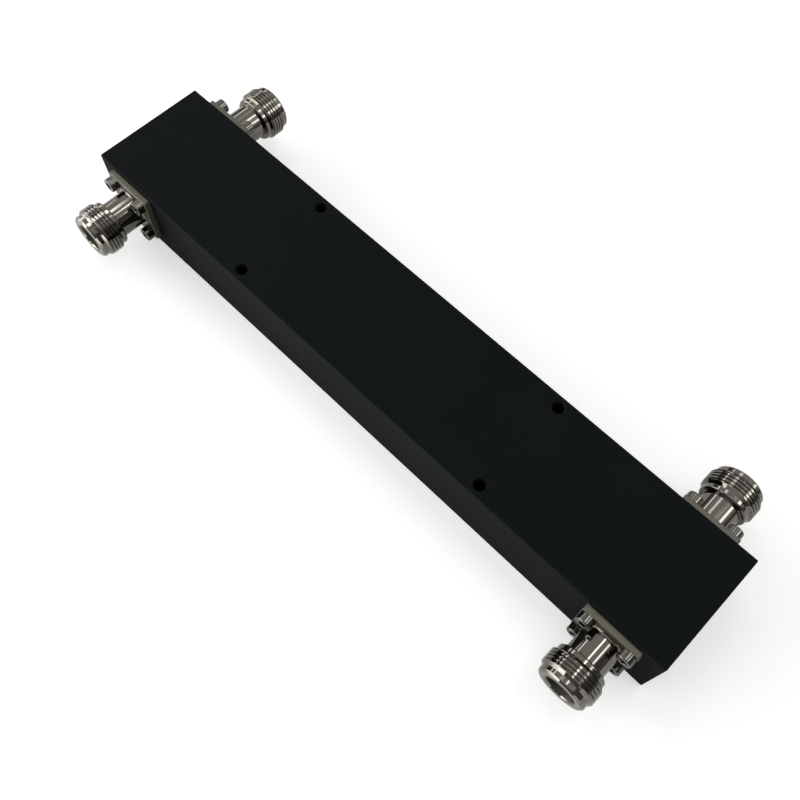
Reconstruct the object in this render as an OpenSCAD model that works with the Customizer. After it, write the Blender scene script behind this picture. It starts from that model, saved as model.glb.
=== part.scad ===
// Hybrid coupler: a milled aluminium housing closed from below by a stepped lid,
// two coupled air-line conductors held on PTFE supports, and four threaded coaxial
// sockets on square flanges, two on each long side.
// Millimetres. The origin is at the middle of the lid's underside. +X runs along
// the housing, +Y points to the far row of sockets and +Z up through the roof.

/* [Housing] */
// Length of the housing
body_length = 218; // [208:1:260]
// Width of the housing
body_width = 37.5; // [37:0.5:44]
// Height of the housing with its lid on
body_height = 24; // [24:0.5:32]
// Thickness of the roof over the cavity
roof_thickness = 2.2; // [2:0.1:3.5]
// Thickness of the two long walls
side_wall = 6.4; // [6:0.1:6.8]
// Thickness of the two end walls
end_wall = 6; // [4:0.5:8]
// Radius left by the cutter in the corners of the cavity
cavity_corner_r = 3; // [1:0.5:5]
// Bevel that breaks the outer edges
edge_bevel = 0.3; // [0.1:0.05:0.6]

/* [Lid] */
// Thickness of the lid's plate
lid_thickness = 3; // [2.5:0.1:4]
// Height of the step that rises from the plate into the cavity
lid_step = 2.7; // [1.5:0.1:3]
// Gap between the lid's step and the cavity's walls
lid_clearance = 0.1; // [0.05:0.01:0.3]
// Thread diameter of the lid screws
lid_screw_d = 2.5; // [2:0.1:3]
// Diameter of the lid screws' countersunk heads
lid_screw_head_d = 4.7; // [4.2:0.1:5.2]
// Width across the flats of the lid screws' hexagon sockets
lid_screw_key = 1.5; // [1.3:0.1:2]
// Gap round the lid screws in the lid's holes
lid_hole_clearance = 0.1; // [0.05:0.05:0.2]
// How far the lid screws reach into the housing
lid_screw_reach = 3.5; // [2.5:0.1:4]
// Distance from the housing's end to the outermost lid screws
lid_screw_inset = 3.9; // [3.5:0.1:4.2]
// Lid screws in each row between a port and the next mounting hole
lid_screws_outer = 2; // [1:1:3]
// Lid screws in each row between the two mounting holes
lid_screws_middle = 4; // [2:1:6]

/* [Mounting holes] */
// Distance between the mounting holes along the housing
mount_spacing = 93; // [70:1:120]
// Diameter of the mounting holes
mount_hole_d = 3.4; // [2.6:0.1:3.6]
// Bevel at the mouths of the mounting holes
mount_hole_bevel = 0.3; // [0.1:0.05:0.4]

/* [Port positions] */
// Distance from the housing's end to the axis of the nearest socket
port_inset = 14.75; // [14:0.25:18]

/* [Socket flange] */
// Side of the square flange
flange_size = 17.5; // [17:0.1:18]
// Thickness of the flange
flange_thickness = 2; // [1.6:0.1:2.6]
// Radius of the flange's corners
flange_corner_r = 0.5; // [0.3:0.1:1.5]
// Distance between the flange screws
flange_screw_spacing = 12.7; // [12.4:0.1:13]
// Thread diameter of the flange screws
flange_screw_d = 2.5; // [2:0.1:2.6]
// Diameter of the flange screws' cylindrical heads
flange_head_d = 4.5; // [4:0.1:4.6]
// Height of the flange screws' heads
flange_head_height = 2.5; // [1.8:0.1:2.8]
// Width across the flats of the flange screws' hexagon sockets
flange_screw_key = 2; // [1.5:0.1:2.5]
// Depth of the flange screws' hexagon sockets
flange_key_depth = 1.2; // [0.8:0.1:1.5]
// How far the flange screws reach into the housing
flange_screw_reach = 4; // [3:0.1:4.4]
// Gap round the flange screws in the flange's holes
flange_hole_clearance = 0.15; // [0.1:0.05:0.2]

/* [Socket shell] */
// Distance from the housing's side to the socket's front face
shell_reach = 18.9; // [18:0.1:22]
// Diameter of the smooth neck behind the thread
neck_d = 11.4; // [10.8:0.1:11.8]
// Size of the fillet where the neck meets the flange
neck_fillet = 0.6; // [0.2:0.1:0.8]
// Diameter over the thread
thread_d = 15.875; // [15.4:0.005:16.4]
// Length of the threaded band with the cones at its two ends
thread_length = 5.5; // [4.5:0.1:6]
// Diameter of the smooth ring in front of the thread
nose_d = 14.2; // [13.6:0.1:15]
// Length of the smooth ring in front of the thread
nose_length = 1.9; // [1.2:0.1:2.2]
// Bevel round the socket's front edge
nose_bevel = 0.6; // [0.2:0.1:0.8]
// Diameter of the collar behind the thread
collar_d = 14.2; // [13.6:0.1:15]
// Length of the collar with its bevel
collar_length = 1.55; // [1.2:0.05:2.4]
// Bevel round the collar's rear edge
collar_bevel = 0.35; // [0.2:0.05:0.8]
// Diameter of the pilot that sits in the housing's wall
pilot_d = 10.4; // [10.2:0.1:10.7]
// Length of the pilot
pilot_length = 3; // [2:0.1:3.6]

/* [Socket bore] */
// Diameter of the bore that takes the mating plug's sleeve
socket_bore_d = 8.1; // [7.9:0.05:8.3]
// Diameter at the mouth of the bore
socket_mouth_d = 9.8; // [9.4:0.1:10.4]
// Bevel round the mouth of the bore
socket_mouth_bevel = 0.4; // [0.2:0.05:0.5]
// Length of the taper from the mouth's bevel down to the bore
socket_taper = 6; // [3:0.1:7]
// Depth of the plug's stop behind the front face
socket_depth = 9.1; // [8.8:0.1:9.6]
// Diameter of the throat behind the plug's stop
throat_d = 7; // [6.6:0.1:7.4]
// Length of the throat
throat_length = 1; // [0.6:0.1:1.6]

/* [Insulator and contact] */
// Diameter of the PTFE insulator
insulator_d = 8.3; // [8:0.1:8.6]
// Diameter of the slotted contact's socket
contact_d = 3.04; // [2.9:0.02:3.2]
// Diameter of the hole in the slotted contact
contact_hole_d = 1.65; // [1.5:0.05:1.8]
// Depth of the hole in the slotted contact
contact_hole_depth = 4.2; // [3.5:0.1:4.6]
// Width of the contact's slots
contact_slot = 0.35; // [0.25:0.05:0.5]
// Length of the contact's slots
contact_slot_length = 3.6; // [2.5:0.1:4.2]
// Bevel round the slotted contact's tip
contact_bevel = 0.35; // [0.1:0.05:0.5]
// Distance from the front face back to the contact's tip
contact_recess = 4.3; // [4.1:0.1:4.6]
// Diameter of the contact's rod inside the insulator
rod_d = 2.6; // [2.2:0.1:2.8]
// Diameter of the contact's tail, soldered into the line
tail_d = 1.8; // [1.5:0.1:2]
// Length of tail inside the line's end block
tail_grip = 5; // [3:0.5:5.5]

/* [Coupled lines] */
// Thickness of each line
line_thickness = 2; // [1.5:0.1:2.4]
// Vertical gap between the two lines
line_gap = 2; // [1.6:0.1:2.4]
// Width of the loosely coupled outer stretches
line_outer_width = 9; // [7.5:0.1:9.4]
// Width of the tightly coupled middle stretch
line_middle_width = 8; // [6:0.1:9]
// Sideways distance between the two lines in the outer stretches
line_split = 2; // [1:0.1:3]
// Share of the distance between the ports that the middle stretch takes
middle_share = 0.3333; // [0.25:0.01:0.45]
// Length of the slanted steps between the stretches
line_slant = 4; // [2:0.5:6]
// Length of the end blocks along the housing
block_length = 6; // [4:0.5:8]
// Width of the end blocks across the housing
block_width = 6; // [6:0.1:7]
// Wall of the end blocks beyond the tail's bore
block_wall = 1.2; // [0.8:0.1:1.6]

/* [PTFE supports] */
// Diameter of the supports
support_d = 6; // [4.5:0.1:7]
// Diameter of the spigots that enter the lines
spigot_d = 2; // [1.5:0.1:2.5]
// Depth to which a spigot enters a line
spigot_depth = 0.7; // [0.4:0.05:0.7]
// Distance of the middle supports from the housing's centre
middle_support_x = 20; // [12:1:22]

/* [Fits] */
// Radial clearance of pieces that fit into a bore
fit = 0.05; // [0.02:0.01:0.1]
// Spare depth beyond screws and tails in blind holes
end_clearance = 0.3; // [0.2:0.1:0.5]

/* [Hidden] */
$fn = 64;

// The signs of the four ports' places along X and Y
left = -1;
right = 1;
near = -1;
far = 1;
// Overlap that cutting shapes reach past a face
past = 1;

// Housing and cavity
cavity_length = body_length - 2 * end_wall;
cavity_width = body_width - 2 * side_wall;
cavity_roof = body_height - roof_thickness;
cavity_floor = lid_thickness + lid_step;
wall_middle = (body_width - side_wall) / 2;

// The ports stand midway between the cavity's floor and roof
port_x = body_length / 2 - port_inset;
port_z = (cavity_floor + cavity_roof) / 2;

// Stations along a socket's axis, measured outwards from the housing's side
socket_stop = shell_reach - socket_depth;
throat_start = socket_stop - throat_length;
contact_tip = shell_reach - contact_recess;
nose_start = shell_reach - nose_length;
thread_start = nose_start - thread_length;
collar_start = thread_start - collar_length;

// Angle between the points of the arc where the neck meets the flange
fillet_step = 22.5;

// The thread rises from the collar and falls to the nose over cones of 45 degrees
crest_start = thread_start + (thread_d - collar_d) / 2;
crest_end = nose_start - (thread_d - nose_d) / 2;

// Lines
line_low = line_gap / 2;
line_top = line_low + line_thickness;
outer_inner_edge = line_split / 2;
outer_outer_edge = outer_inner_edge + line_outer_width;
outer_middle = (outer_inner_edge + outer_outer_edge) / 2;
line_wall_gap = cavity_width / 2 - outer_outer_edge;
middle_half = port_x * middle_share;
line_end = port_x + block_length / 2;
block_low = -(tail_d / 2 + fit + block_wall);
outer_support_x = (port_x + middle_half) / 2;

// Lid screws, as places along one row
mount_x = mount_spacing / 2;
outer_step = (port_x - mount_x) / (lid_screws_outer + 1);
middle_step = mount_spacing / (lid_screws_middle + 1);
outer_screw_x = [for (i = [1 : lid_screws_outer]) mount_x + i * outer_step];
lid_screw_x = concat(
    [for (side = [left, right], x = concat(outer_screw_x, [port_x, body_length / 2 - lid_screw_inset])) side * x],
    [for (i = [1 : lid_screws_middle]) -mount_x + i * middle_step]);
lid_screw_length = lid_thickness + lid_screw_reach;
lid_head_height = (lid_screw_head_d - lid_screw_d) / 2;

// Diameter of a hexagon's corners, from the width across its flats
function across_corners(key) = key / cos(30);

module rounded_plate(length, width, thickness, corner_r) {
    linear_extrude(thickness) {
        square([length - 2 * corner_r, width], center = true);
        square([length, width - 2 * corner_r], center = true);
        for (x = [-1, 1], y = [-1, 1])
            translate([x * (length / 2 - corner_r), y * (width / 2 - corner_r)]) circle(corner_r);
    }
}

module bevelled_outline(length, width, bevel) {
    x = length / 2;
    y = width / 2;
    polygon([[x - bevel, y], [x, y - bevel], [x, bevel - y], [x - bevel, -y],
             [bevel - x, -y], [-x, bevel - y], [-x, y - bevel], [bevel - x, y]]);
}

// Housing and lid together, with every outer edge broken
module outer_form() {
    intersection() {
        linear_extrude(body_height) bevelled_outline(body_length, body_width, edge_bevel);
        translate([0, body_width / 2, body_height / 2]) rotate([90, 0, 0])
            linear_extrude(body_width) bevelled_outline(body_length, body_height, edge_bevel);
        translate([-body_length / 2, 0, body_height / 2]) rotate([90, 0, 90])
            linear_extrude(body_length) bevelled_outline(body_width, body_height, edge_bevel);
    }
}

module slab(low, high) {
    translate([-body_length, -body_width, low]) cube([2 * body_length, 2 * body_width, high - low]);
}

module at_mounting_holes() {
    for (x = [left, right], y = [near, far]) translate([x * mount_x, y * wall_middle, 0]) children();
}

module at_lid_screws() {
    for (x = lid_screw_x, y = [near, far]) translate([x, y * wall_middle, 0]) children();
}

// Puts a piece that is drawn along +Z onto one port, pointing out of the housing
module at_port(y, x) {
    translate([x * port_x, y * body_width / 2, port_z]) rotate([-90 * y, 0, 0]) children();
}

module at_flange_screws() {
    offset = flange_screw_spacing / 2;
    for (x = [-offset, offset], y = [-offset, offset]) translate([x, y, 0]) children();
}

module mounting_hole() {
    translate([0, 0, -past]) cylinder(h = body_height + 2 * past, d = mount_hole_d);
    translate([0, 0, body_height - mount_hole_bevel])
        cylinder(h = mount_hole_bevel, d1 = mount_hole_d, d2 = mount_hole_d + 2 * mount_hole_bevel);
}

// The wall's bore for one socket: wide for the shell's pilot, then narrow for the insulator
module port_cut() {
    translate([0, 0, -pilot_length - end_clearance])
        cylinder(h = pilot_length + end_clearance + past, d = pilot_d + 2 * fit);
    translate([0, 0, -side_wall - past]) cylinder(h = side_wall + past, d = insulator_d + 2 * fit);
    at_flange_screws() translate([0, 0, -flange_screw_reach - end_clearance])
        cylinder(h = flange_screw_reach + end_clearance + past, d = flange_screw_d + 2 * fit);
}

module housing() {
    color("#1a1d1e") difference() {
        intersection() {
            outer_form();
            slab(lid_thickness, body_height + past);
        }
        translate([0, 0, lid_thickness - past])
            rounded_plate(cavity_length, cavity_width, cavity_roof - lid_thickness + past, cavity_corner_r);
        at_mounting_holes() mounting_hole();
        for (x = [left, right], y = [near, far]) at_port(y, x) port_cut();
        at_lid_screws() translate([0, 0, lid_thickness - past])
            cylinder(h = lid_screw_reach + end_clearance + past, d = lid_screw_d + 2 * fit);
    }
}

module lid() {
    color("#1c1f20") difference() {
        union() {
            intersection() {
                outer_form();
                slab(-past, lid_thickness);
            }
            rounded_plate(cavity_length - 2 * lid_clearance, cavity_width - 2 * lid_clearance,
                          cavity_floor, cavity_corner_r - lid_clearance);
        }
        at_mounting_holes() mounting_hole();
        at_lid_screws() {
            translate([0, 0, -past]) cylinder(h = lid_thickness + 2 * past, d = lid_screw_d + 2 * lid_hole_clearance);
            cylinder(h = lid_head_height, d1 = lid_screw_head_d, d2 = lid_screw_d);
        }
    }
}

module lid_screws() {
    color("#2a2b2d") at_lid_screws() difference() {
        union() {
            cylinder(h = lid_head_height, d1 = lid_screw_head_d, d2 = lid_screw_d);
            cylinder(h = lid_screw_length, d = lid_screw_d);
        }
        translate([0, 0, -past]) cylinder(h = past + lid_head_height, d = across_corners(lid_screw_key), $fn = 6);
    }
}

// One line, drawn round the ports' axis plane: it runs on the near side, above the plane
module line() {
    difference() {
        union() {
            translate([0, 0, line_low]) linear_extrude(line_thickness) line_plan();
            for (x = [left, right])
                translate([x * port_x - block_length / 2, -outer_outer_edge, block_low])
                    cube([block_length, block_width, line_top - block_low]);
        }
        for (x = [left, right]) {
            translate([x * port_x, -outer_outer_edge - past, 0]) rotate([-90, 0, 0])
                cylinder(h = past + tail_grip + end_clearance, d = tail_d + 2 * fit);
            translate([x * outer_support_x, -outer_middle, line_low - past])
                cylinder(h = line_thickness + 2 * past, d = spigot_d + 2 * fit);
            translate([x * middle_support_x, 0, line_low - past])
                cylinder(h = line_thickness + 2 * past, d = spigot_d + 2 * fit);
        }
    }
}

module line_plan() {
    slant_end = middle_half + line_slant;
    middle_edge = line_middle_width / 2;
    polygon([[-line_end, -outer_outer_edge], [-slant_end, -outer_outer_edge],
             [-middle_half, -middle_edge], [middle_half, -middle_edge],
             [slant_end, -outer_outer_edge], [line_end, -outer_outer_edge],
             [line_end, -outer_inner_edge], [slant_end, -outer_inner_edge],
             [middle_half, middle_edge], [-middle_half, middle_edge],
             [-slant_end, -outer_inner_edge], [-line_end, -outer_inner_edge]]);
}

module upper_line() {
    color("#c9a24a") translate([0, 0, port_z]) line();
}

module lower_line() {
    color("#c9a24a") translate([0, 0, port_z]) rotate([180, 0, 0]) line();
}

module line_spacers() {
    color("#f2f1ec") for (x = [left, right]) translate([x * middle_support_x, 0, port_z]) {
        cylinder(h = line_gap, d = support_d, center = true);
        cylinder(h = line_gap + 2 * spigot_depth, d = spigot_d, center = true);
    }
}

// A support whose foot is at its origin and whose spigot enters the line above it
module support(height) {
    cylinder(h = height, d = support_d);
    cylinder(h = height + spigot_depth, d = spigot_d);
}

// The supports under both lines, drawn round the ports' axis plane
module supports_below() {
    below = cavity_floor - port_z;
    for (x = [left, right]) {
        translate([x * middle_support_x, 0, below]) support(-line_top - below);
        translate([x * outer_support_x, outer_middle, below]) support(-line_top - below);
        translate([x * outer_support_x, -outer_middle, below]) support(line_low - below);
    }
}

module floor_supports() {
    color("#f2f1ec") translate([0, 0, port_z]) supports_below();
}

module roof_supports() {
    color("#f2f1ec") translate([0, 0, port_z]) rotate([180, 0, 0]) supports_below();
}

module shell_outline() {
    neck_r = neck_d / 2;
    pilot_r = pilot_d / 2;
    collar_r = collar_d / 2;
    thread_r = thread_d / 2;
    nose_r = nose_d / 2;
    fillet_arc = [for (a = [0 : fillet_step : 90])
        [neck_r + neck_fillet * (1 - sin(a)), flange_thickness + neck_fillet * (1 - cos(a))]];
    polygon([[0, -pilot_length], [pilot_r, -pilot_length], [pilot_r, 0],
             [neck_r + neck_fillet, 0], each fillet_arc, [neck_r, collar_start],
             [collar_r - collar_bevel, collar_start], [collar_r, collar_start + collar_bevel],
             [collar_r, thread_start], [thread_r, crest_start], [thread_r, crest_end],
             [nose_r, nose_start], [nose_r, shell_reach - nose_bevel],
             [nose_r - nose_bevel, shell_reach], [0, shell_reach]]);
}

module shell_bore_outline() {
    rear_r = insulator_d / 2 + fit;
    bore_r = socket_bore_d / 2;
    mouth_r = socket_mouth_d / 2;
    taper_end = shell_reach - socket_mouth_bevel;
    polygon([[0, -pilot_length - past], [rear_r, -pilot_length - past], [rear_r, throat_start],
             [throat_d / 2, throat_start], [throat_d / 2, socket_stop], [bore_r, socket_stop],
             [bore_r, taper_end - socket_taper], [mouth_r - socket_mouth_bevel, taper_end],
             [mouth_r, shell_reach], [mouth_r, shell_reach + past], [0, shell_reach + past]]);
}

module shell(y, x) {
    color("#b9b7b0") at_port(y, x) difference() {
        union() {
            rotate_extrude() shell_outline();
            rounded_plate(flange_size, flange_size, flange_thickness, flange_corner_r);
        }
        rotate_extrude() shell_bore_outline();
        at_flange_screws() translate([0, 0, -past])
            cylinder(h = flange_thickness + 2 * past, d = flange_screw_d + 2 * flange_hole_clearance);
    }
}

module insulator(y, x) {
    color("#f4f3ee") at_port(y, x) difference() {
        union() {
            translate([0, 0, -side_wall]) cylinder(h = side_wall + throat_start, d = insulator_d);
            cylinder(h = socket_stop, d = throat_d - 2 * fit);
        }
        translate([0, 0, -side_wall - past])
            cylinder(h = side_wall + socket_stop + 2 * past, d = rod_d + 2 * fit);
    }
}

module contact(y, x) {
    tail_length = line_wall_gap + tail_grip;
    color("#d9b45a") at_port(y, x) difference() {
        rotate_extrude() polygon([
            [0, -side_wall - tail_length], [tail_d / 2, -side_wall - tail_length],
            [tail_d / 2, -side_wall], [rod_d / 2, -side_wall], [rod_d / 2, socket_stop],
            [contact_d / 2, socket_stop], [contact_d / 2, contact_tip - contact_bevel],
            [contact_d / 2 - contact_bevel, contact_tip], [0, contact_tip]]);
        translate([0, 0, contact_tip - contact_hole_depth])
            cylinder(h = contact_hole_depth + past, d = contact_hole_d);
        for (turn = [0, 90]) rotate([0, 0, turn])
            translate([-contact_d, -contact_slot / 2, contact_tip - contact_slot_length])
                cube([2 * contact_d, contact_slot, contact_slot_length + past]);
    }
}

module flange_screws(y, x) {
    color("#aeb0b2") at_port(y, x) at_flange_screws() difference() {
        union() {
            translate([0, 0, flange_thickness]) cylinder(h = flange_head_height, d = flange_head_d);
            translate([0, 0, -flange_screw_reach])
                cylinder(h = flange_screw_reach + flange_thickness + past, d = flange_screw_d);
        }
        translate([0, 0, flange_thickness + flange_head_height - flange_key_depth])
            cylinder(h = flange_key_depth + past, d = across_corners(flange_screw_key), $fn = 6);
    }
}

housing();
lid();
lid_screws();
upper_line();
lower_line();
line_spacers();
roof_supports();
floor_supports();
shell(near, left);  // shell_near_left
shell(near, right);  // shell_near_right
shell(far, left);  // shell_far_left
shell(far, right);  // shell_far_right
insulator(near, left);  // insulator_near_left
insulator(near, right);  // insulator_near_right
insulator(far, left);  // insulator_far_left
insulator(far, right);  // insulator_far_right
contact(near, left);  // contact_near_left
contact(near, right);  // contact_near_right
contact(far, left);  // contact_far_left
contact(far, right);  // contact_far_right
flange_screws(near, left);  // flange_screws_near_left
flange_screws(near, right);  // flange_screws_near_right
flange_screws(far, left);  // flange_screws_far_left
flange_screws(far, right);  // flange_screws_far_right
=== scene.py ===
"""Dresses the hybrid coupler: a matte black coat on the milled housing, nickel-plated
sockets turned with their real thread, cap screws, and a pale studio round them."""

import math

import bmesh
import bpy
from bpy.props import FloatProperty, FloatVectorProperty, IntProperty, PointerProperty
from mathutils import Matrix, Vector
from mathutils.geometry import delaunay_2d_cdt


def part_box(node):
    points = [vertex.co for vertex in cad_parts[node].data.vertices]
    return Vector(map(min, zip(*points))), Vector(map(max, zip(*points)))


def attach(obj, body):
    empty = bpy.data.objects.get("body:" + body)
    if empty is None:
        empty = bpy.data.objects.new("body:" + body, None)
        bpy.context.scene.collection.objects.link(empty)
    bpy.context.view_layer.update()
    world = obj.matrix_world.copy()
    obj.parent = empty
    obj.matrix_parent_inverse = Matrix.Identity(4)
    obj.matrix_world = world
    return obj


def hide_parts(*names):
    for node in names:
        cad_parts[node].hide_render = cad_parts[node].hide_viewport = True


bl_info = {
    "name": "Hybrid coupler finish",
    "version": (1, 0, 0),
    "blender": (4, 5, 0),
    "location": "3D View > Sidebar > Coupler",
    "description": "Builds the threaded sockets and cap screws of a hybrid coupler "
                   "and gives every piece its finish",
    "category": "Object",
}

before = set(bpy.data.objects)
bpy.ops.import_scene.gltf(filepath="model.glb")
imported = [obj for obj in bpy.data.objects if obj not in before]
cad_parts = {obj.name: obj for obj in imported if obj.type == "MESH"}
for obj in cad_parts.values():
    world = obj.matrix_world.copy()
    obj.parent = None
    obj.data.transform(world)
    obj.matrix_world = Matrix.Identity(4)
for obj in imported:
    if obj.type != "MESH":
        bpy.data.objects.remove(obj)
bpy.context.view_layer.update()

MM = 0.001
INCH = 0.0254
PORTS = ("near_left", "near_right", "far_left", "far_right")

# How far the thread is turned round on each shell, in degrees.
THREAD_ANGLES = {"near_left": 289, "near_right": 39, "far_left": 129, "far_right": 19}
# A shell's two finishes, by their place in its list of materials.
BRIGHT, SATIN = 0, 1
# Edges that turn by more than these angles are shaded sharp.
SHELL_SHARP = math.radians(28)
SCREW_SHARP = math.radians(30)
# The distance between the bands of the wave texture at a scale of one, 2 pi / 20.
BAND_GAP = 0.314


def linear(hex_colour):
    """Turns an sRGB hex colour into the linear values that shaders take."""
    channels = [int(hex_colour[i:i + 2], 16) / 255 for i in (1, 3, 5)]
    return [c / 12.92 if c <= 0.04045 else ((c + 0.055) / 1.055) ** 2.4 for c in channels]


def length(name, description, default):
    """A setting in metres, shown as a length."""
    return FloatProperty(name=name, description=description, default=default, min=0,
                         unit="LENGTH", precision=6)


def colour(name, description, hex_colour):
    """A setting that holds a colour."""
    return FloatVectorProperty(name=name, description=description, default=linear(hex_colour),
                               size=3, min=0, max=1, subtype="COLOR")


def share(name, description, default):
    """A setting between none and all."""
    return FloatProperty(name=name, description=description, default=default, min=0, max=1,
                         subtype="FACTOR")


def brightness(name, description, default):
    """A setting for how strongly something shines."""
    return FloatProperty(name=name, description=description, default=default, min=0)


def count(name, description, default, least, most):
    """A setting that is a whole number."""
    return IntProperty(name=name, description=description, default=default, min=least, max=most)


class ShellSettings(bpy.types.PropertyGroup):
    """Sizes of the turned socket shells, measured outwards from the housing's side."""

    flange_thickness: length("Flange thickness", "Thickness of the square flange", 2 * MM)
    flange_corner: length("Flange corner", "Radius of the flange's corners", 0.5 * MM)
    flange_hole: length("Flange hole", "Diameter of the flange's screw holes", 2.8 * MM)
    screw_spacing: length("Screw spacing", "Distance between the flange screws", 12.7 * MM)
    pilot_diameter: length("Pilot diameter", "Diameter of the pilot in the housing's wall", 10.4 * MM)
    neck_diameter: length("Neck diameter", "Diameter of the smooth neck", 11.4 * MM)
    neck_fillet: length("Neck fillet", "Size of the fillet between neck and flange", 0.6 * MM)
    collar_start: length("Collar start", "Where the collar behind the thread starts", 9.95 * MM)
    collar_diameter: length("Collar diameter", "Diameter of the collar", 14.2 * MM)
    collar_bevel: length("Collar bevel", "Bevel round the collar's rear edge", 0.35 * MM)
    thread_start: length("Thread start", "Where the cone behind the thread starts", 11.5 * MM)
    thread_diameter: length("Thread diameter", "Diameter over the thread's crests", 5 / 8 * INCH)
    thread_pitch: length("Thread pitch", "Distance from crest to crest", INCH / 24)
    nose_start: length("Nose start", "Where the cone in front of the thread ends", 17 * MM)
    nose_diameter: length("Nose diameter", "Diameter of the smooth ring in front", 14.2 * MM)
    nose_bevel: length("Nose bevel", "Bevel round the front edge", 0.6 * MM)
    mouth_diameter: length("Mouth diameter", "Diameter at the mouth of the bore", 9.8 * MM)
    mouth_bevel: length("Mouth bevel", "Bevel round the mouth", 0.4 * MM)
    taper: length("Taper", "Length of the taper from the mouth's bevel down to the bore", 6 * MM)
    bore_diameter: length("Bore diameter", "Diameter of the bore for the plug's sleeve", 8.1 * MM)
    bore_depth: length("Bore depth", "Depth of the plug's stop", 9.1 * MM)
    throat_diameter: length("Throat diameter", "Diameter of the throat behind the stop", 7 * MM)
    throat_length: length("Throat length", "Length of the throat", 1 * MM)
    rear_diameter: length("Rear bore diameter", "Diameter of the bore round the insulator", 8.4 * MM)
    edge_break: length("Edge break", "Size to which turned edges are broken", 0.1 * MM)
    support: length("Support", "Distance from an edge to the ring that keeps its face true", 0.05 * MM)
    columns: count("Columns", "Faces round the shell", 144, 24, 360)
    steps: count("Steps", "Rows along one pitch of the thread", 14, 6, 32)


class ScrewSettings(bpy.types.PropertyGroup):
    """Sizes of the cap screws that hold the flanges."""

    head_diameter: length("Head diameter", "Diameter of the cylindrical head", 4.5 * MM)
    head_height: length("Head height", "Height of the head", 2.5 * MM)
    head_round: length("Head round", "Rounding of the head's upper edge", 0.3 * MM)
    key_width: length("Key width", "Width across the flats of the hexagon socket", 2 * MM)
    key_depth: length("Key depth", "Depth of the hexagon socket", 1.2 * MM)
    shank_diameter: length("Shank diameter", "Diameter of the threaded shank", 2.5 * MM)
    turn_step: FloatProperty(name="Turn step", default=math.radians(37), subtype="ANGLE",
                             description="How much further each screw is turned than the last")
    columns: count("Columns", "Faces round a screw", 48, 12, 120)


class FinishSettings(bpy.types.PropertyGroup):
    """Colours and surface sizes of the finishes."""

    coat: colour("Coat", "Black powder coat of the housing and lid", "#0b0f10")
    coat_mottle: colour("Coat mottle", "Paler patches in the powder coat", "#101415")
    coat_grain: length("Coat grain", "Grain of the powder coat", 0.35 * MM)
    nickel: colour("Nickel", "Nickel plate of the turned surfaces", "#7f7b74")
    nickel_film: colour("Nickel film", "Faint film that handling leaves on the nickel", "#747069")
    milled: colour("Milled nickel", "Nickel plate of the milled flanges", "#706e63")
    milled_film: colour("Milled film", "Faint film that handling leaves on the flanges", "#66645a")
    nickel_roughness: share("Nickel roughness", "Roughness of the bright turned nickel", 0.07)
    flange_roughness: share("Flange roughness", "Roughness of the milled nickel flanges", 0.5)
    feed: length("Feed", "Distance between turning marks", 0.28 * MM)
    steel: colour("Steel", "Stainless steel of the flange screws", "#6c6a64")
    ptfe: colour("PTFE", "White PTFE", "#eeede8")
    gold: colour("Gold", "Gold plate of the contacts", "#dcb262")
    silver: colour("Silver", "Silver plate of the lines", "#dedad2")
    black_steel: colour("Black steel", "Blackened steel of the lid screws", "#2a2b2d")
    floor: colour("Floor", "Pale floor", "#e8e8e6")


class StageSettings(bpy.types.PropertyGroup):
    """The camera, the floor and the room's light."""

    camera_place: FloatVectorProperty(name="Camera place", description="Where the camera stands",
                                      default=(86.46 * MM, -87.53 * MM, 241.4 * MM), size=3,
                                      subtype="TRANSLATION", precision=5)
    camera_turn: FloatVectorProperty(name="Camera turn", description="Rotation of the camera",
                                     default=[math.radians(a) for a in (25.4206, -0.4742, 44.7756)],
                                     size=3, subtype="EULER")
    lens: FloatProperty(name="Lens", description="Focal length in millimetres on a 36 mm sensor",
                        default=40.4, min=10, max=200)
    floor_size: length("Floor size", "Side of the square floor", 12.0)
    floor_glow: share("Floor glow", "Light that the floor adds to what the camera sees", 0.45)
    gloss_glow: share("Gloss glow", "Light that the floor beside the coupler adds to what gloss sees", 0.12)
    ceiling: brightness("Ceiling", "Brightness of the studio overhead", 0.6)
    horizon: brightness("Horizon", "Brightness of the studio at the horizon", 0.13)
    dark_side: FloatVectorProperty(name="Dark side", description="Direction of the room's unlit side",
                                   default=(0.85, -0.15, 0.5), size=3, subtype="DIRECTION")
    # Painted reflection: in front of the coupler the floor glows this brightly where a window's reflection
    # would lie. It mirrors nothing.
    painted_window_reflection: brightness("Sheen", "How brightly the floor mirrors the window in front", 3)


def join(tree, node, links):
    """Links outputs to a node's inputs, keyed by the input's name or number."""
    for key, output in links.items():
        tree.links.new(output, node.inputs[key])


def add_node(tree, kind, settings=None, links=None):
    """Adds a node with its links. A setting is keyed by an input, or else by the node's attribute."""
    node = tree.nodes.new(kind)
    for key, value in (settings or {}).items():
        if isinstance(key, str) and key not in node.inputs:
            setattr(node, key, value)
        else:
            node.inputs[key].default_value = value
    join(tree, node, links or {})
    return node


def start_material(name):
    """A new node material: its tree, its shader and the mesh's own coordinates in metres."""
    material = bpy.data.materials.new(name)
    material.use_nodes = True
    tree = material.node_tree
    place = add_node(tree, "ShaderNodeTexCoord").outputs["Object"]
    return material, tree, tree.nodes["Principled BSDF"], place


def opaque(rgb):
    """The colour with the full opacity that a shader's colour input asks for."""
    return (*rgb, 1)


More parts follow.
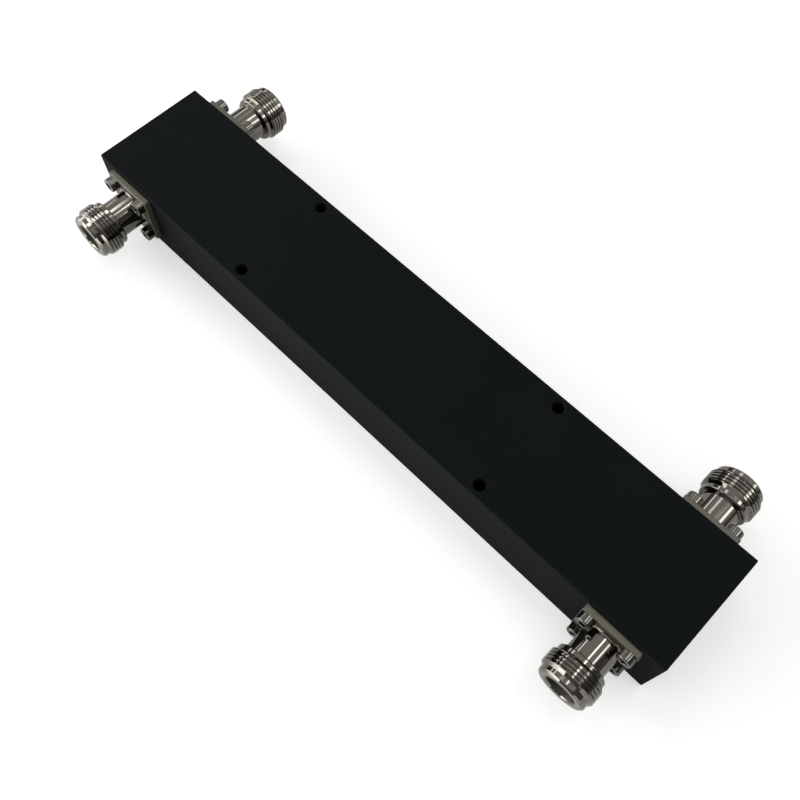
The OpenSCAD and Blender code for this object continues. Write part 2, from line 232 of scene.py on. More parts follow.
def powder_coat(finish):
    """Matte polyester powder coat on milled aluminium.

    The baked powder is a soft, fine-grained black that scatters each lamp widely.
    """
    material, tree, shader, place = start_material("matte_polyester_powder_coat")
    peel_size = 1.6 * MM
    mottle_size = 22 * MM
    smoothest, roughest = 0.68, 0.82
    mottle = add_node(tree, "ShaderNodeTexNoise", {"Scale": 1 / mottle_size, "Detail": 3, "Roughness": 0.55},
                      {"Vector": place})
    # Real grain is finer. It is drawn as coarse as it needs to show.
    grain = add_node(tree, "ShaderNodeTexNoise", {"Scale": 1 / finish.coat_grain, "Detail": 2},
                     {"Vector": place})
    peel = add_node(tree, "ShaderNodeTexNoise", {"Scale": 1 / peel_size, "Detail": 1}, {"Vector": place})
    colours = add_node(tree, "ShaderNodeMix",
                       {"data_type": "RGBA", "A": opaque(finish.coat), "B": opaque(finish.coat_mottle)},
                       {"Factor": mottle.outputs["Fac"]})
    rough = add_node(tree, "ShaderNodeMapRange", {"To Min": smoothest, "To Max": roughest},
                     {"Value": grain.outputs["Fac"]})
    fine = add_node(tree, "ShaderNodeBump", {"Strength": 0.6, "Distance": 0.02 * MM},
                    {"Height": grain.outputs["Fac"]})
    wavy = add_node(tree, "ShaderNodeBump", {"Strength": 0.5, "Distance": 0.03 * MM},
                    {"Height": peel.outputs["Fac"], "Normal": fine.outputs["Normal"]})
    join(tree, shader, {"Base Color": colours.outputs["Result"], "Roughness": rough.outputs["Result"],
                        "Normal": wavy.outputs["Normal"]})
    # The coat hardly mirrors anything, even at a low angle.
    shader.inputs["Specular IOR Level"].default_value = 0.072
    return material


def turned_nickel(finish):
    """Bright nickel plate on turned brass.

    It mirrors the room in a warm grey, with the faint rings that the lathe tool leaves.
    """
    material, tree, shader, place = start_material("bright_nickel_on_turned_brass")
    film_size = 4 * MM
    smoothest, roughest = finish.nickel_roughness * 0.7, finish.nickel_roughness * 1.5
    film = add_node(tree, "ShaderNodeTexNoise", {"Scale": 1 / film_size, "Detail": 3}, {"Vector": place})
    # A real feed is finer. The rings are drawn as coarse as they need to show.
    rings = add_node(tree, "ShaderNodeTexWave",
                     {"wave_type": "BANDS", "bands_direction": "Y", "Scale": BAND_GAP / finish.feed,
                      "Distortion": 0.4, "Detail": 1}, {"Vector": place})
    colours = add_node(tree, "ShaderNodeMix",
                       {"data_type": "RGBA", "A": opaque(finish.nickel), "B": opaque(finish.nickel_film)},
                       {"Factor": film.outputs["Fac"]})
    rough = add_node(tree, "ShaderNodeMapRange", {"To Min": smoothest, "To Max": roughest},
                     {"Value": film.outputs["Fac"]})
    marks = add_node(tree, "ShaderNodeBump", {"Strength": 0.12, "Distance": 0.004 * MM},
                     {"Height": rings.outputs["Fac"]})
    join(tree, shader, {"Base Color": colours.outputs["Result"], "Roughness": rough.outputs["Result"],
                        "Normal": marks.outputs["Normal"]})
    shader.inputs["Metallic"].default_value = 1
    return material


def milled_nickel(finish):
    """Nickel plate on milled brass.

    It is satin, with the cutter's fine straight marks, so it mirrors the room only softly.
    """
    material, tree, shader, place = start_material("satin_nickel_on_milled_brass")
    film_size = 5 * MM
    # Real marks are finer. They are drawn as coarse as they need to show.
    mark_size = 0.25 * MM
    # A small scale along the flange draws the marks out in that direction.
    stretch = 0.06
    smoothest, roughest = finish.flange_roughness - 0.06, finish.flange_roughness + 0.08
    stretched = add_node(tree, "ShaderNodeMapping", {"Scale": (stretch, 1, 1)}, {"Vector": place})
    film = add_node(tree, "ShaderNodeTexNoise", {"Scale": 1 / film_size, "Detail": 4}, {"Vector": place})
    marks = add_node(tree, "ShaderNodeTexNoise", {"Scale": 1 / mark_size, "Detail": 2},
                     {"Vector": stretched.outputs["Vector"]})
    colours = add_node(tree, "ShaderNodeMix",
                       {"data_type": "RGBA", "A": opaque(finish.milled), "B": opaque(finish.milled_film)},
                       {"Factor": film.outputs["Fac"]})
    rough = add_node(tree, "ShaderNodeMapRange", {"To Min": smoothest, "To Max": roughest},
                     {"Value": marks.outputs["Fac"]})
    cuts = add_node(tree, "ShaderNodeBump", {"Strength": 0.12, "Distance": 0.006 * MM},
                    {"Height": marks.outputs["Fac"]})
    join(tree, shader, {"Base Color": colours.outputs["Result"], "Roughness": rough.outputs["Result"],
                        "Normal": cuts.outputs["Normal"]})
    shader.inputs["Metallic"].default_value = 1
    return material


def plain_metal(name, rgb, roughness, patch_size, metallic=1.0):
    """A metal whose roughness and tone drift a little from patch to patch."""
    material, tree, shader, place = start_material(name)
    smoothest, roughest = roughness * 0.75, roughness * 1.3
    duller = [c * 0.82 for c in rgb]
    patches = add_node(tree, "ShaderNodeTexNoise", {"Scale": 1 / patch_size, "Detail": 3}, {"Vector": place})
    colours = add_node(tree, "ShaderNodeMix", {"data_type": "RGBA", "A": opaque(rgb), "B": opaque(duller)},
                       {"Factor": patches.outputs["Fac"]})
    rough = add_node(tree, "ShaderNodeMapRange", {"To Min": smoothest, "To Max": roughest},
                     {"Value": patches.outputs["Fac"]})
    relief = add_node(tree, "ShaderNodeBump", {"Strength": 0.3, "Distance": 0.004 * MM},
                      {"Height": patches.outputs["Fac"]})
    join(tree, shader, {"Base Color": colours.outputs["Result"], "Roughness": rough.outputs["Result"],
                        "Normal": relief.outputs["Normal"]})
    shader.inputs["Metallic"].default_value = metallic
    return material


def turned_ptfe(finish):
    """Machined PTFE: a waxy, slightly translucent white without gloss, a little greyer in clouds."""
    material, tree, shader, place = start_material("turned_white_ptfe")
    cloud_size = 2.5 * MM
    smoothest, roughest = 0.42, 0.55
    greyer = [c * 0.93 for c in finish.ptfe]
    clouds = add_node(tree, "ShaderNodeTexNoise", {"Scale": 1 / cloud_size, "Detail": 2}, {"Vector": place})
    colours = add_node(tree, "ShaderNodeMix",
                       {"data_type": "RGBA", "A": opaque(finish.ptfe), "B": opaque(greyer)},
                       {"Factor": clouds.outputs["Fac"]})
    rough = add_node(tree, "ShaderNodeMapRange", {"To Min": smoothest, "To Max": roughest},
                     {"Value": clouds.outputs["Fac"]})
    join(tree, shader, {"Base Color": colours.outputs["Result"], "Roughness": rough.outputs["Result"]})
    shader.inputs["IOR"].default_value = 1.36
    shader.inputs["Subsurface Weight"].default_value = 0.15
    shader.inputs["Subsurface Scale"].default_value = 0.6 * MM
    return material


def seamless_floor(finish, stage):
    """A pale seamless sheet with a painted reflection of the window glowing on it in front of the coupler.

    Its glow is seen by the camera and in gloss only, so it lights nothing.
    """
    # The painted reflection of the window is full left of the coupler's middle, and gone this far to the
    # right.
    painted_reflection_right = 160 * MM
    # It grows between these distances in front of the housing.
    painted_reflection_start, painted_reflection_full = 24 * MM, 90 * MM
    material = bpy.data.materials.new("pale_seamless_sheet")
    material.use_nodes = True
    tree = material.node_tree
    tree.nodes.remove(tree.nodes["Principled BSDF"])
    ray = add_node(tree, "ShaderNodeLightPath")
    gloss = add_node(tree, "ShaderNodeMath", {"operation": "MAXIMUM"},
                     {0: ray.outputs["Is Glossy Ray"], 1: ray.outputs["Is Transmission Ray"]})
    seen = add_node(tree, "ShaderNodeMath", {"operation": "MAXIMUM"},
                    {0: ray.outputs["Is Camera Ray"], 1: gloss.outputs["Value"]})
    place = add_node(tree, "ShaderNodeSeparateXYZ", None,
                     {"Vector": add_node(tree, "ShaderNodeTexCoord").outputs["Object"]})
    near_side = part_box("housing")[0].y
    beside = add_node(tree, "ShaderNodeMapRange", {"To Min": stage.gloss_glow, "To Max": stage.floor_glow},
                      {"Value": ray.outputs["Is Camera Ray"]})
    # Painted reflection of the window: a glow on the floor, strongest in front of and left of the coupler.
    left = add_node(tree, "ShaderNodeMapRange",
                    {"interpolation_type": "SMOOTHSTEP", "From Min": painted_reflection_right, "From Max": 0,
                     "To Min": stage.floor_glow, "To Max": stage.painted_window_reflection}, {"Value": place.outputs["X"]})
    near = add_node(tree, "ShaderNodeMapRange",
                    {"interpolation_type": "SMOOTHSTEP", "From Min": near_side - painted_reflection_start,
                     "From Max": near_side - painted_reflection_full},
                    {"Value": place.outputs["Y"], "To Min": beside.outputs["Result"],
                     "To Max": left.outputs["Result"]})
    strength = add_node(tree, "ShaderNodeMath", {"operation": "MULTIPLY"},
                        {0: seen.outputs["Value"], 1: near.outputs["Result"]})
    glow = add_node(tree, "ShaderNodeEmission", None, {"Strength": strength.outputs["Value"]})
    sheet = add_node(tree, "ShaderNodeBsdfDiffuse", {"Color": opaque(finish.floor)})
    both = add_node(tree, "ShaderNodeAddShader", None,
                    {0: sheet.outputs["BSDF"], 1: glow.outputs["Emission"]})
    join(tree, tree.nodes["Material Output"], {"Surface": both.outputs["Shader"]})
    return material


def dress(node_name, material):
    """Gives a solid of the frame its finish."""
    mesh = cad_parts[node_name].data
    mesh.materials.clear()
    mesh.materials.append(material)


class Patchwork:
    """Points and faces gathered patch by patch, then welded into one closed mesh."""

    def __init__(self):
        self.points = []
        self.faces = []
        self.finishes = []

    def add(self, points, faces, finish=BRIGHT):
        """Adds a patch, whose faces count its own points from 0."""
        offset = len(self.points)
        self.points += points
        self.faces += [[offset + i for i in face] for face in faces]
        self.finishes += [finish] * len(faces)

    def skin(self, rings, finish=BRIGHT):
        """Joins each closed ring to the next one with quads."""
        size = len(rings[0])
        faces = []
        for start in range(0, size * (len(rings) - 1), size):
            for i in range(size):
                after = (i + 1) % size
                faces.append((start + i, start + after, start + size + after, start + size + i))
        self.add([point for ring in rings for point in ring], faces, finish)

    def wind(self, columns, climb, finish=BRIGHT):
        """Joins columns of points round a band, where one turn climbs by some rows.

        The rows that find no neighbour for it are spare ones at the band's ends.
        """
        height = len(columns[0])
        last = len(columns) - 1
        faces = []
        for i in range(len(columns)):
            up = climb if i == last else 0
            here = i * height
            after = up if i == last else here + height
            faces += [(here + r, after + r, after + r + 1, here + r + 1) for r in range(height - 1 - up)]
        self.add([point for column in columns for point in column], faces, finish)

    def cap(self, ring, finish=BRIGHT):
        """Closes a ring with one flat face."""
        self.add(ring, [range(len(ring))], finish)

    def plate(self, outline, holes, finish=BRIGHT):
        """A flat face inside an outline and outside its holes."""
        inside_outline = 1
        tolerance = 1e-6
        loops = [outline, *holes]
        height = outline[0].z
        flat = [Vector((p.x, p.y)) / MM for loop in loops for p in loop]
        edges = []
        for loop in loops:
            start = len(edges)
            edges += [(start + i, start + (i + 1) % len(loop)) for i in range(len(loop))]
        corners, _, triangles = delaunay_2d_cdt(flat, edges, [], inside_outline, tolerance)[:3]
        rims = [[(p.x / MM, p.y / MM) for p in hole] for hole in holes]
        kept = []
        for triangle in triangles:
            middle = sum((corners[i] for i in triangle), Vector((0, 0))) / 3
            if not any(inside(middle, rim) for rim in rims):
                kept.append(triangle)
        self.add([Vector((c.x * MM, c.y * MM, height)) for c in corners], kept, finish)

    def build(self, name, place, materials, sharp_angle):
        """The welded mesh as an object, moved into place."""
        weld = 1e-3 * MM
        speck = 1e-4 * MM
        mesh = bpy.data.meshes.new(name)
        mesh.from_pydata(self.points, [], self.faces)
        mesh.polygons.foreach_set("material_index", self.finishes)
        for material in materials:
            mesh.materials.append(material)
        form = bmesh.new()
        form.from_mesh(mesh)
        bmesh.ops.remove_doubles(form, verts=form.verts, dist=weld)
        bmesh.ops.dissolve_degenerate(form, edges=form.edges, dist=speck)
        bmesh.ops.recalc_face_normals(form, faces=form.faces)
        open_edges = [e for e in form.edges if not e.is_manifold]
        if open_edges:
            raise RuntimeError(f"{name} isn't closed: {len(open_edges)} edges are open")
        form.to_mesh(mesh)
        form.free()
        mesh.transform(place)
        mesh.polygons.foreach_set("use_smooth", [True] * len(mesh.polygons))
        mesh.set_sharp_from_angle(angle=sharp_angle)
        piece = bpy.data.objects.new(name, mesh)
        bpy.context.scene.collection.objects.link(piece)
        return piece


def inside(point, loop):
    """Whether a flat point lies inside a closed loop."""
    crossings = 0
    for (x1, y1), (x2, y2) in zip(loop, loop[1:] + loop[:1]):
        if (y1 > point.y) != (y2 > point.y) and point.x < x1 + (point.y - y1) * (x2 - x1) / (y2 - y1):
            crossings += 1
    return crossings % 2 == 1


def ring(height, radius, columns, centre=(0, 0)):
    """A closed ring of points. Its radius is a length, or a function of the angle."""
    points = []
    for i in range(columns):
        angle = 2 * math.pi * i / columns
        reach = radius(angle) if callable(radius) else radius
        points.append(Vector((centre[0] + reach * math.cos(angle),
                              centre[1] + reach * math.sin(angle), height)))
    return points


def hexagon(width):
    """The radius of a hexagon of that width across its flats, as a function of the angle."""
    sixth = math.pi / 3
    return lambda angle: width / 2 / math.cos(angle % sixth - sixth / 2)


def rounded_square(side, corner_radius, height):
    """The outline of a square with round corners."""
    steps = 6
    middle = side / 2 - corner_radius
    points = []
    for quarter, (x, y) in enumerate(((1, 1), (-1, 1), (-1, -1), (1, -1))):
        for i in range(steps + 1):
            angle = math.pi / 2 * (quarter + i / steps)
            points.append(Vector((x * middle + corner_radius * math.cos(angle),
                                  y * middle + corner_radius * math.sin(angle), height)))
    return points


def quarter_turn(steps):
    """Angles from 0 to 90 degrees in even steps."""
    return [math.pi / 2 * i / steps for i in range(steps + 1)]


def broken(profile, size):
    """The profile with each of its sharp inner points replaced by a small flat."""
    shortest = 3 * size
    straight = math.radians(20)
    made = [profile[0]]
    for before, corner, after in zip(profile, profile[1:], profile[2:]):
        before, corner, after = Vector(before), Vector(corner), Vector(after)
        back, on = before - corner, after - corner
        if min(back.length, on.length) < shortest or abs(math.pi - back.angle(on)) < straight:
            made.append(tuple(corner))
            continue
        made.append(tuple(corner + back.normalized() * size))
        made.append(tuple(corner + on.normalized() * size))
    return made + [profile[-1]]


def supported(profile, distance):
    """The profile with a point beside both ends of each long stretch.

    Only its corners are then shaded round.
    """
    shortest = 4 * distance
    made = [profile[0]]
    for start, end in zip(profile, profile[1:]):
        start, end = Vector(start), Vector(end)
        if (end - start).length > shortest:
            step = (end - start).normalized() * distance
            made += [tuple(start + step), tuple(end - step)]
        made.append(tuple(end))
    return made


def port_place(port):
    """Puts a piece that is drawn along +Z onto one port, pointing out of the housing."""
    low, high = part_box("shell_" + port)
    outward = 1 if port.startswith("far") else -1
    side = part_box("housing")[1].y * outward
    axis = (low + high) / 2
    return Matrix.Translation((axis.x, side, axis.z)) @ Matrix.Rotation(math.radians(-90 * outward), 4, "X")


def shell_reach(port):
    """How far the shell stands out of the housing, and how deep its pilot goes in."""
    low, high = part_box("shell_" + port)
    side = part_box("housing")[1].y
    edges = sorted((abs(low.y), abs(high.y)))
    return edges[1] - side, side - edges[0]


def screw_centres(shell):
    """The places of a flange's four screws."""
    half = shell.screw_spacing / 2
    return [(x, y) for x in (-half, half) for y in (-half, half)]


def thread_columns(s, phase):
    """Columns of points up the threaded band, whose rows follow the helix, and the rows in one pitch.

    The band has a 60 degree thread and ends in a cone of 45 degrees on each side.
    """
    crest = s.thread_diameter / 2
    nose = s.nose_diameter / 2
    collar = s.collar_diameter / 2
    # The flats on crest and root, as shares of the pitch.
    crest_flat = 0.44
    root_flat = 0.12
    flank_share = 1 - crest_flat - root_flat
    depth = flank_share / 2 * s.thread_pitch / math.tan(math.radians(30))
    root = crest - depth

    corners = (-crest_flat / 2, crest_flat / 2, (1 - root_flat) / 2, (1 + root_flat) / 2, 1 - crest_flat / 2)
    rows = []
    for low, high in zip(corners, corners[1:]):
        steps = max(1, round((high - low) * s.steps))
        rows += [low + (high - low) * i / steps for i in range(steps)]

    # Enough turns that every column passes both ends of the band.
    turns = (s.nose_start - s.thread_start) / s.thread_pitch
    wholes = range(-3, math.ceil(turns) + 2)
    # Where the two cones meet the crest and the root.
    circles = [s.thread_start + r - collar for r in (root, crest)]
    circles += [s.nose_start - (r - nose) for r in (crest, root)]
    columns = []
    for i in range(s.columns):
        angle = 2 * math.pi * i / s.columns
        shift = (angle + phase) / (2 * math.pi)
        heights = [s.thread_start + s.thread_pitch * (whole + row + shift)
                   for whole in wholes for row in rows]
        for circle in circles:
            nearest = min(range(len(heights)), key=lambda r: abs(heights[r] - circle))
            heights[nearest] = circle
        column = []
        for height in heights:
            height = min(max(height, s.thread_start), s.nose_start)
            turn = (height - s.thread_start) / s.thread_pitch - shift
            from_crest = abs(turn - round(turn)) * 2
            flank = (from_crest - crest_flat) / flank_share
            radius = min(crest - depth * min(1, max(0, flank)), collar + height - s.thread_start,
                         nose + s.nose_start - height)
            column.append(Vector((radius * math.cos(angle), radius * math.sin(angle), height)))
        columns.append(column)
    return columns, len(rows)


def shell_parts(port, phase, s):
    """One shell: the turned body and the square flange round it, as one closed surface."""
    low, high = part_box("shell_" + port)
    side = high.x - low.x
    reach, pilot = shell_reach(port)
    stop = reach - s.bore_depth
    throat = stop - s.throat_length
    base = s.neck_diameter / 2 + s.neck_fillet
    hub = base + s.support
    fillet_steps = 5
    fillet = [(s.flange_thickness + s.neck_fillet * (1 - math.cos(a)), base - s.neck_fillet * math.sin(a))
              for a in quarter_turn(fillet_steps)]
    neck = [(s.flange_thickness, hub), *fillet, (s.collar_start, s.neck_diameter / 2),
            (s.collar_start, s.collar_diameter / 2 - s.collar_bevel),
            (s.collar_start + s.collar_bevel, s.collar_diameter / 2), (s.thread_start, s.collar_diameter / 2)]
    front = [(s.nose_start, s.nose_diameter / 2), (reach - s.nose_bevel, s.nose_diameter / 2),
             (reach, s.nose_diameter / 2 - s.nose_bevel), (reach, s.mouth_diameter / 2),
             (reach - s.mouth_bevel, s.mouth_diameter / 2 - s.mouth_bevel)]
    bore = [front[-1], (reach - s.mouth_bevel - s.taper, s.bore_diameter / 2), (stop, s.bore_diameter / 2),
            (stop, s.throat_diameter / 2), (throat, s.throat_diameter / 2), (throat, s.rear_diameter / 2),
            (-pilot, s.rear_diameter / 2), (-pilot, s.pilot_diameter / 2), (0, s.pilot_diameter / 2)]
    parts = Patchwork()
    parts.wind(*thread_columns(s, phase))
    # Only the outside is bright. The bore is as satin as the flange.
    for profile, finish in ((neck, BRIGHT), (front, BRIGHT), (bore, SATIN)):
        outline = supported(broken(profile, s.edge_break), s.support)
        parts.skin([ring(height, radius, s.columns) for height, radius in outline], finish)

    hole_columns = 40
    hole = s.flange_hole / 2
    edge = 0.15 * MM
    centres = screw_centres(s)
    levels = [(0, side - 2 * edge), (edge, side), (s.flange_thickness - edge, side),
              (s.flange_thickness, side - 2 * edge)]
    rims = [rounded_square(width, s.flange_corner - (side - width) / 2, height) for height, width in levels]
    parts.skin(rims, SATIN)
    for height, middle, rim in ((0, s.pilot_diameter / 2, rims[0]), (s.flange_thickness, hub, rims[-1])):
        holes = [ring(height, hole, hole_columns, centre) for centre in centres]
        parts.plate(rim, [ring(height, middle, s.columns), *holes], SATIN)
    for centre in centres:
        parts.skin([ring(height, hole, hole_columns, centre) for height in (0, s.flange_thickness)], SATIN)
    return parts


def screw_parts(s, seat, tip):
    """One cap screw, drawn along +Z with its head on the seat and its tip at the given height."""
    head = s.head_diameter / 2
    shank = s.shank_diameter / 2
    top = seat + s.head_height
    # Bevels at the tip and round the hexagon, and the distance of a ring that keeps a face true.
    point = 0.3 * MM
    lip = 0.12 * MM
    beside = 0.04 * MM
    rounding_steps = 4
    rounding = [(top - s.head_round * (1 - math.sin(a)), head - s.head_round * (1 - math.cos(a)))
                for a in quarter_turn(rounding_steps)]
    profile = [(tip, shank - point), (tip + point, shank), (seat, shank), (seat, head), *rounding,
               (top, head - s.head_round - beside)]
    rings = [ring(height, radius, s.columns) for height, radius in supported(profile, beside)]
    key = ((top, s.key_width + 2 * lip), (top - lip, s.key_width), (top - s.key_depth, s.key_width))
    rings += [ring(height, hexagon(width), s.columns) for height, width in key]
    parts = Patchwork()
    parts.skin(rings)
    parts.cap(rings[0])
    parts.cap(rings[-1])
    return parts


class COUPLER_OT_coat_housing(bpy.types.Operator):
    """Coats the housing and its lid"""

    bl_idname = "coupler.coat_housing"
    bl_label = "Coat housing and lid"

    def execute(self, context):
        coat = powder_coat(context.scene.coupler_finish)
        dress("housing", coat)
        dress("lid", coat)
        return {"FINISHED"}


class COUPLER_OT_turn_shells(bpy.types.Operator):
    """Turns the four socket shells with their thread and square flange"""

    bl_idname = "coupler.turn_shells"
    bl_label = "Turn socket shells"

    def execute(self, context):
        finish = context.scene.coupler_finish
        materials = [turned_nickel(finish), milled_nickel(finish)]
        for port in PORTS:
            parts = shell_parts(port, math.radians(THREAD_ANGLES[port]), context.scene.coupler_shell)
            piece = parts.build("threaded_shell_" + port, port_place(port), materials, SHELL_SHARP)
            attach(piece, "root")
            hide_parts("shell_" + port)
        return {"FINISHED"}


class COUPLER_OT_fit_flange_screws(bpy.types.Operator):
    """Fits four cap screws through each flange"""

    bl_idname = "coupler.fit_flange_screws"
    bl_label = "Fit flange screws"

    def execute(self, context):
        screw = context.scene.coupler_screw
        shell = context.scene.coupler_shell
        # Turned stainless steel is a plain grey that mirrors lamps as soft bright streaks.
        steel = plain_metal("turned_stainless_steel", context.scene.coupler_finish.steel,
                            roughness=0.12, patch_size=1.5 * MM)
        for i, port in enumerate(PORTS):
            node = "flange_screws_" + port
            low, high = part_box(node)
            tip = min(abs(low.y), abs(high.y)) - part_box("housing")[1].y
            one = screw_parts(screw, shell.flange_thickness, tip)
            four = Patchwork()
            for j, (x, y) in enumerate(screw_centres(shell)):
                place = Matrix.Translation((x, y, 0)) @ Matrix.Rotation(screw.turn_step * (4 * i + j), 4, "Z")
                four.add([place @ p for p in one.points], one.faces)
            piece = four.build("cap_screws_" + port, port_place(port), [steel], SCREW_SHARP)
            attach(piece, "root")
            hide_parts(node)
        return {"FINISHED"}


class COUPLER_OT_fit_lid_screws(bpy.types.Operator):
    """Gives the countersunk lid screws their blackened finish"""

    bl_idname = "coupler.fit_lid_screws"
    bl_label = "Fit lid screws"

    def execute(self, context):
        # Black oxide is a thin dark skin, so the steel under it still mirrors a little.
        black = plain_metal("black_oxide_steel", context.scene.coupler_finish.black_steel,
                            roughness=0.45, patch_size=1 * MM, metallic=0.6)
        dress("lid_screws", black)
        return {"FINISHED"}


class COUPLER_OT_fit_sockets(bpy.types.Operator):
    """Gives the insulators and the slotted contacts their finish"""

    bl_idname = "coupler.fit_sockets"
    bl_label = "Fit insulators and contacts"

    def execute(self, context):
        finish = context.scene.coupler_finish
        ptfe = turned_ptfe(finish)
        # Gold plate on turned bronze is a warm yellow that mirrors softly.
        gold = plain_metal("gold_plate_on_bronze", finish.gold, roughness=0.18, patch_size=1 * MM)
        for port in PORTS:
            dress("insulator_" + port, ptfe)
            dress("contact_" + port, gold)
        return {"FINISHED"}


class COUPLER_OT_fit_lines(bpy.types.Operator):
    """Gives the coupled lines and their supports their finish"""

    bl_idname = "coupler.fit_lines"
    bl_label = "Fit lines and supports"

    def execute(self, context):
        finish = context.scene.coupler_finish
        ptfe = turned_ptfe(finish)
        # Silver plate on milled brass is a pale metal whose fine cutter marks blur what it mirrors.
        silver = plain_metal("silver_plate_on_milled_brass", finish.silver, roughness=0.25, patch_size=4 * MM)
        for name in ("upper_line", "lower_line"):
            dress(name, silver)
        for name in ("line_spacers", "roof_supports", "floor_supports"):
            dress(name, ptfe)
        return {"FINISHED"}


def lay_floor(finish, stage):
    """The floor, a hair below the coupler."""
    half = stage.floor_size / 2
    below = -0.02 * MM
    mesh = bpy.data.meshes.new("floor")
    mesh.from_pydata([(-half, -half, below), (half, -half, below), (half, half, below), (-half, half, below)],
                     [], [(0, 1, 2, 3)])
    mesh.materials.append(seamless_floor(finish, stage))
    floor = bpy.data.objects.new("floor", mesh)
    bpy.context.scene.collection.objects.link(floor)


def studio_world(stage):
    """The room round the coupler: bright overhead, dim at the horizon and on its unlit side.

    The camera sees plain white instead of it.
    """
    # Heights between which the room brightens, as sines of their angle above the horizon.
    dim_height, bright_height = 0.12, 0.5
    # Cosines of the angles from the middle of the unlit side between which it ends.
    dark_within, lit_beyond = 0.9, 0.86
    world = bpy.data.worlds.new("studio")
    world.use_nodes = True
    tree = world.node_tree
    direction = add_node(tree, "ShaderNodeTexCoord").outputs["Generated"]
    up = add_node(tree, "ShaderNodeSeparateXYZ", None, {"Vector": direction})
    height = add_node(tree, "ShaderNodeMapRange",
                      {"interpolation_type": "SMOOTHSTEP", "From Min": dim_height, "From Max": bright_height},
                      {"Value": up.outputs["Z"]})
    towards = add_node(tree, "ShaderNodeVectorMath",
                       {"operation": "DOT_PRODUCT", 1: Vector(stage.dark_side).normalized()}, {0: direction})
    lit = add_node(tree, "ShaderNodeMapRange",
                   {"interpolation_type": "SMOOTHSTEP", "From Min": dark_within, "From Max": lit_beyond},
                   {"Value": towards.outputs["Value"]})
    both = add_node(tree, "ShaderNodeMath", {"operation": "MULTIPLY"},
                    {0: height.outputs["Result"], 1: lit.outputs["Result"]})
    fall = add_node(tree, "ShaderNodeMapRange", {"To Min": stage.horizon, "To Max": stage.ceiling},
                    {"Value": both.outputs["Value"]})
    ray = add_node(tree, "ShaderNodeLightPath")
    pale = add_node(tree, "ShaderNodeMapRange", None,
                    {"Value": ray.outputs["Is Camera Ray"], "To Min": fall.outputs["Result"]})
    background = tree.nodes["Background"]
    background.inputs["Color"].default_value = (1, 1, 1, 1)
    join(tree, background, {"Strength": pale.outputs["Result"]})
    return world


# Softboxes: name, place, direction of their side, size across and along it, and radiance.
# The window and its panes stand to the left and in front, and the panels hang overhead.
LAMPS = (
    ("window", (-1.013, -0.531, 0.37), (0.51, -0.86, 0), (0.68, 1.72), 3.2),
    ("window_upper", (-1.0, 0.47, 0.61), (0, 1, 0), (0.09, 0.46), 4),
    ("window_lower", (-1.0, 0.25, 0.23), (0, 1, 0), (0.08, 0.16), 3),
    ("window_front", (-0.45, -0.89, 0.13), (0.89, -0.45, 0), (0.24, 0.6), 5),
    ("panel_middle_near", (0.125, 0.21, 0.9), (0, 1, 0), (0.12, 0.09), 6),
    ("panel_middle_far", (0.19, 0.35, 0.9), (0, 1, 0), (0.18, 0.16), 4.5),
    ("panel_left_near", (-0.345, 0.135, 0.9), (0, 1, 0), (0.29, 0.08), 5.5),
    ("panel_left_far", (-0.34, 0.54, 0.9), (0, 1, 0), (0.22, 0.12), 2),
    ("panel_right_near", (0.69, 0.28, 0.9), (0, 1, 0), (0.16, 0.08), 4.5),
    ("panel_right_far", (1.03, 0.66, 0.9), (0.8, 0.4, 0), (0.18, 0.33), 4.5),
    ("panel_far", (0.43, 0.48, 0.9), (0, 1, 0), (0.26, 0.14), 0.5),
    ("panel_far_left", (-0.42, 0.41, 0.9), (0, 1, 0), (0.2, 0.06), 0.5),
)


def add_lamp(name, place, along, size, radiance):
    """A rectangular softbox that faces the coupler. Its power gives it the radiance at any size."""
    lamp = bpy.data.lights.new(name, "AREA")
    lamp.shape = "RECTANGLE"
    lamp.size, lamp.size_y = size
    lamp.energy = radiance * math.pi * size[0] * size[1]
    holder = bpy.data.objects.new(name, lamp)
    holder.location = place
    back = Vector(place).normalized()
    across = Vector(along).cross(back).normalized()
    holder.rotation_euler = Matrix((across, back.cross(across), back)).transposed().to_euler()
    bpy.context.scene.collection.objects.link(holder)


def add_camera(stage):
    """The camera, where the stage's settings put it."""
    camera = bpy.data.objects.new("camera", bpy.data.cameras.new("camera"))
    camera.data.lens = stage.lens
    camera.data.clip_start = 1 * MM
    camera.location = stage.camera_place
    camera.rotation_euler = stage.camera_turn
    bpy.context.scene.collection.objects.link(camera)
    return camera


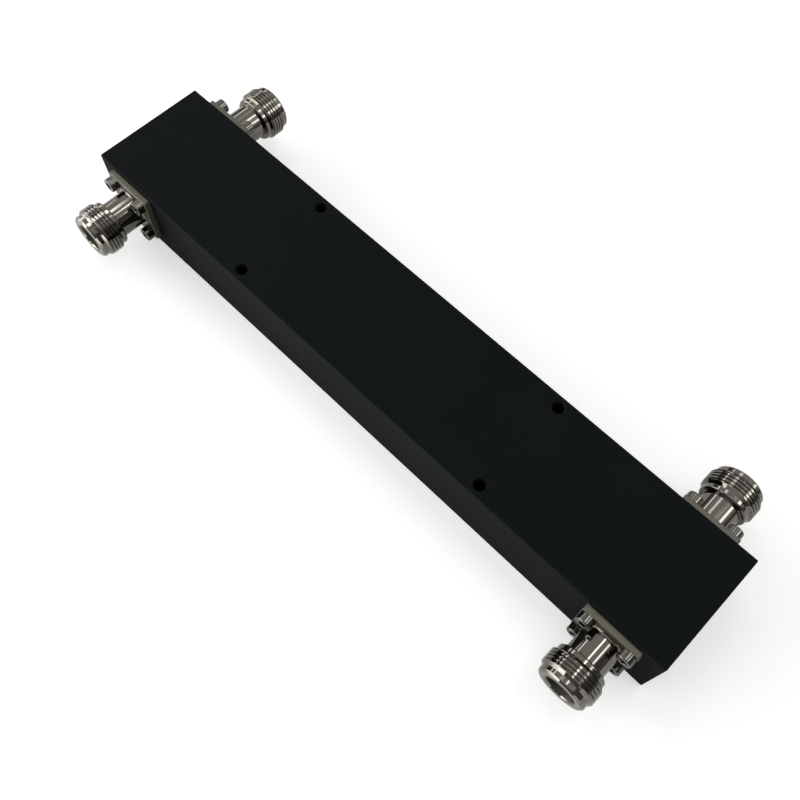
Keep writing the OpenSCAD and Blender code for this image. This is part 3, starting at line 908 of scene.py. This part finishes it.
class COUPLER_OT_build_stage(bpy.types.Operator):
    """Builds the pale floor, the studio light and the camera"""

    bl_idname = "coupler.build_stage"
    bl_label = "Build stage"

    def execute(self, context):
        scene = context.scene
        lay_floor(scene.coupler_finish, scene.coupler_stage)
        scene.world = studio_world(scene.coupler_stage)
        for lamp in LAMPS:
            add_lamp(*lamp)
        scene.camera = add_camera(scene.coupler_stage)
        scene.view_settings.view_transform = "Standard"
        return {"FINISHED"}


class COUPLER_PT_sidebar(bpy.types.Panel):
    """Lists the operators and every setting"""

    bl_idname = "COUPLER_PT_sidebar"
    bl_label = "Hybrid coupler"
    bl_space_type = "VIEW_3D"
    bl_region_type = "UI"
    bl_category = "Coupler"

    def draw(self, context):
        for operator in OPERATORS:
            self.layout.operator(operator.bl_idname)
        for group in SETTINGS:
            box = self.layout.box()
            values = getattr(context.scene, group)
            for name in values.bl_rna.properties.keys():
                if name not in ("rna_type", "name"):
                    box.prop(values, name)


SETTINGS = {"coupler_shell": ShellSettings, "coupler_screw": ScrewSettings, "coupler_finish": FinishSettings,
            "coupler_stage": StageSettings}
OPERATORS = (COUPLER_OT_coat_housing, COUPLER_OT_turn_shells, COUPLER_OT_fit_flange_screws,
             COUPLER_OT_fit_lid_screws, COUPLER_OT_fit_sockets, COUPLER_OT_fit_lines, COUPLER_OT_build_stage)
CLASSES = (*SETTINGS.values(), *OPERATORS, COUPLER_PT_sidebar)


def register():
    for cls in CLASSES:
        bpy.utils.register_class(cls)
    for name, group in SETTINGS.items():
        setattr(bpy.types.Scene, name, PointerProperty(type=group))


def unregister():
    for name in SETTINGS:
        delattr(bpy.types.Scene, name)
    for cls in reversed(CLASSES):
        bpy.utils.unregister_class(cls)


def main():
    """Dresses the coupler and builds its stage."""
    register()
    bpy.ops.coupler.coat_housing()
    bpy.ops.coupler.turn_shells()
    bpy.ops.coupler.fit_flange_screws()
    bpy.ops.coupler.fit_lid_screws()
    bpy.ops.coupler.fit_sockets()
    bpy.ops.coupler.fit_lines()
    bpy.ops.coupler.build_stage()


if __name__ == "__main__":
    main()
